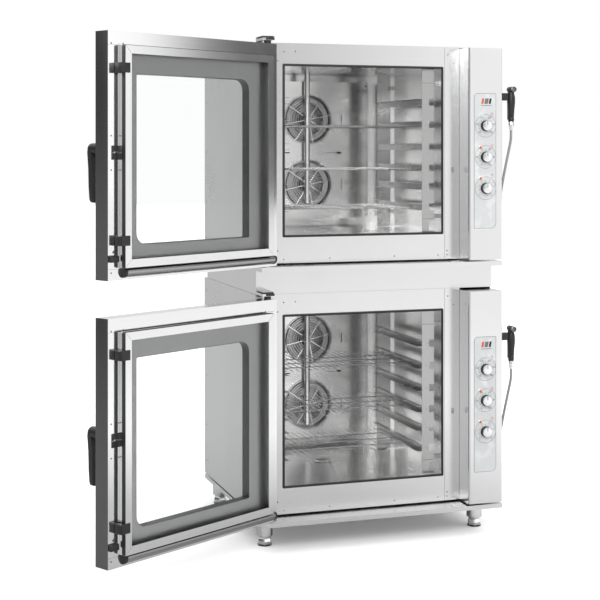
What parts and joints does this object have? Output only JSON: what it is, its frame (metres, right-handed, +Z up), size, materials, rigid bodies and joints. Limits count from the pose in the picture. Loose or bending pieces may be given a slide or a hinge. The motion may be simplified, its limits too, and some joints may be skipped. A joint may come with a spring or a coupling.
{
  "type": "stacked convection oven",
  "caption": "Stacked electric convection ovens on feet, each with an open left-hinged glass door, wire shelves, knob panel and a spray gun on a hose.",
  "frame": {"origin": "On the floor, below the middle of the bounding box of everything but the hoses.", "axes": "+X to the right along the ovens' front, +Y back into the ovens, +Z up"},
  "size_m": [1.6818, 1.3284, 1.8385],
  "materials": {
    "steel": "fine brushed stainless sheet",
    "liner": "plain rolled stainless sheet",
    "door": "brushed stainless sheet",
    "chrome": "bright plated",
    "aluminium": "plain sheet",
    "glass": "clear toughened glass",
    "black": "moulded black plastic",
    "rubber": "black silicone",
    "hose": "grey braided sleeve",
    "knob": "turned, satin"
  },
  "bodies": {
    "stack": {"base_frame": "steel", "plinth": "steel", "foot_front_left": "chrome", "foot_rear_left": "chrome", "foot_front_right": "chrome", "foot_rear_right": "chrome", "lower_cabinet": "steel", "lower_front_frame": "steel", "lower_control_column": "steel", "lower_chamber": "liner", "lower_baffle": "liner", "lower_rack_left": "liner", "lower_rack_right": "liner", "lower_seal": "rubber", "lower_spray_holder": "black", "lower_spray_gun": "black", "lower_hose": "hose", "upper_cabinet": "steel", "upper_front_frame": "steel", "upper_control_column": "steel", "upper_chamber": "liner", "upper_baffle": "liner", "upper_rack_left": "liner", "upper_rack_right": "liner", "upper_seal": "rubber", "upper_spray_holder": "black", "upper_spray_gun": "black", "upper_hose": "hose"},
    "lower_door": {"lower_door_shell": "door", "lower_door_glass": "glass"},
    "lower_inner_pane": {"lower_inner_frame": "door", "lower_inner_glass": "glass", "lower_clip_low": "chrome", "lower_clip_high": "chrome"},
    "lower_handle": {"lower_handle": "black"},
    "lower_knob_low": {"lower_knob_low": "knob"},
    "lower_knob_mid": {"lower_knob_mid": "knob"},
    "lower_knob_high": {"lower_knob_high": "knob"},
    "lower_fan_low": {"lower_fan_low": "aluminium"},
    "lower_fan_high": {"lower_fan_high": "aluminium"},
    "lower_shelf_1": {"lower_shelf_1": "chrome"},
    "lower_shelf_2": {"lower_shelf_2": "chrome"},
    "lower_shelf_3": {"lower_shelf_3": "chrome"},
    "lower_spray_trigger": {"lower_spray_trigger": "black"},
    "upper_door": {"upper_door_shell": "door", "upper_door_glass": "glass"},
    "upper_inner_pane": {"upper_inner_frame": "door", "upper_inner_glass": "glass", "upper_clip_low": "chrome", "upper_clip_high": "chrome"},
    "upper_handle": {"upper_handle": "black"},
    "upper_knob_low": {"upper_knob_low": "knob"},
    "upper_knob_mid": {"upper_knob_mid": "knob"},
    "upper_knob_high": {"upper_knob_high": "knob"},
    "upper_fan_low": {"upper_fan_low": "aluminium"},
    "upper_fan_high": {"upper_fan_high": "aluminium"},
    "upper_shelf_1": {"upper_shelf_1": "chrome"},
    "upper_shelf_2": {"upper_shelf_2": "chrome"},
    "upper_shelf_3": {"upper_shelf_3": "chrome"},
    "upper_spray_trigger": {"upper_spray_trigger": "black"}
  },
  "joints": [
    {"name": "lower_door_hinge", "type": "hinge", "parent": "stack", "child": "lower_door", "pos_m": [-0.14635, -0.24486, 0.509], "axis": [0, 0, -1], "range_deg": [-150, 20]},
    {"name": "lower_inner_pane_hinge", "type": "hinge", "parent": "lower_door", "child": "lower_inner_pane", "pos_m": [-0.15374, -0.27846, 0.509], "axis": [0, 0, 1], "range_deg": [0, 75]},
    {"name": "lower_handle_turn", "type": "hinge", "parent": "lower_door", "child": "lower_handle", "pos_m": [-0.76357, -0.6302, 0.531], "axis": [0.5, -0.866, 0], "range_deg": [0, 60], "stiffness_Nm_per_rad": 0.8, "springref_deg": -8.59},
    {"name": "lower_knob_low_turn", "type": "hinge", "parent": "stack", "child": "lower_knob_low", "pos_m": [0.69485, -0.27006, 0.3855], "axis": [0, 1, 0], "range_deg": [0, 270]},
    {"name": "lower_knob_mid_turn", "type": "hinge", "parent": "stack", "child": "lower_knob_mid", "pos_m": [0.69485, -0.27006, 0.502], "axis": [0, 1, 0], "range_deg": [0, 330]},
    {"name": "lower_knob_high_turn", "type": "hinge", "parent": "stack", "child": "lower_knob_high", "pos_m": [0.69485, -0.27006, 0.618], "axis": [0, 1, 0], "range_deg": [0, 270]},
    {"name": "lower_fan_low_spin", "type": "hinge", "parent": "stack", "child": "lower_fan_low", "pos_m": [0.24465, 0.50424, 0.385], "axis": [0, 1, 0], "continuous": true},
    {"name": "lower_fan_high_spin", "type": "hinge", "parent": "stack", "child": "lower_fan_high", "pos_m": [0.24465, 0.50424, 0.653], "axis": [0, 1, 0], "continuous": true},
    {"name": "lower_shelf_1_slide", "type": "slide", "parent": "stack", "child": "lower_shelf_1", "axis": [0, -1, 0], "range_m": [0, 0.3]},
    {"name": "lower_shelf_2_slide", "type": "slide", "parent": "stack", "child": "lower_shelf_2", "axis": [0, -1, 0], "range_m": [0, 0.3]},
    {"name": "lower_shelf_3_slide", "type": "slide", "parent": "stack", "child": "lower_shelf_3", "axis": [0, -1, 0], "range_m": [0, 0.3]},
    {"name": "lower_trigger_squeeze", "type": "hinge", "parent": "stack", "child": "lower_spray_trigger", "pos_m": [0.82785, -0.19726, 0.737], "axis": [1, 0, 0], "range_deg": [-3.5, 0], "stiffness_Nm_per_rad": 0.4, "springref_deg": 5.73},
    {"name": "upper_door_hinge", "type": "hinge", "parent": "stack", "child": "upper_door", "pos_m": [-0.14635, -0.24486, 1.4155], "axis": [0, 0, -1], "range_deg": [-150, 20]},
    {"name": "upper_inner_pane_hinge", "type": "hinge", "parent": "upper_door", "child": "upper_inner_pane", "pos_m": [-0.15374, -0.27846, 1.4155], "axis": [0, 0, 1], "range_deg": [0, 75]},
    {"name": "upper_handle_turn", "type": "hinge", "parent": "upper_door", "child": "upper_handle", "pos_m": [-0.76357, -0.6302, 1.4375], "axis": [0.5, -0.866, 0], "range_deg": [0, 60], "stiffness_Nm_per_rad": 0.8, "springref_deg": -8.59},
    {"name": "upper_knob_low_turn", "type": "hinge", "parent": "stack", "child": "upper_knob_low", "pos_m": [0.69485, -0.27006, 1.292], "axis": [0, 1, 0], "range_deg": [0, 270]},
    {"name": "upper_knob_mid_turn", "type": "hinge", "parent": "stack", "child": "upper_knob_mid", "pos_m": [0.69485, -0.27006, 1.4085], "axis": [0, 1, 0], "range_deg": [0, 330]},
    {"name": "upper_knob_high_turn", "type": "hinge", "parent": "stack", "child": "upper_knob_high", "pos_m": [0.69485, -0.27006, 1.5245], "axis": [0, 1, 0], "range_deg": [0, 270]},
    {"name": "upper_fan_low_spin", "type": "hinge", "parent": "stack", "child": "upper_fan_low", "pos_m": [0.24465, 0.50424, 1.2915], "axis": [0, 1, 0], "continuous": true},
    {"name": "upper_fan_high_spin", "type": "hinge", "parent": "stack", "child": "upper_fan_high", "pos_m": [0.24465, 0.50424, 1.5595], "axis": [0, 1, 0], "continuous": true},
    {"name": "upper_shelf_1_slide", "type": "slide", "parent": "stack", "child": "upper_shelf_1", "axis": [0, -1, 0], "range_m": [0, 0.3]},
    {"name": "upper_shelf_2_slide", "type": "slide", "parent": "stack", "child": "upper_shelf_2", "axis": [0, -1, 0], "range_m": [0, 0.3]},
    {"name": "upper_shelf_3_slide", "type": "slide", "parent": "stack", "child": "upper_shelf_3", "axis": [0, -1, 0], "range_m": [0, 0.3]},
    {"name": "upper_trigger_squeeze", "type": "hinge", "parent": "stack", "child": "upper_spray_trigger", "pos_m": [0.82785, -0.19726, 1.6435], "axis": [1, 0, 0], "range_deg": [-3.5, 0], "stiffness_Nm_per_rad": 0.4, "springref_deg": 5.73}
  ]
}
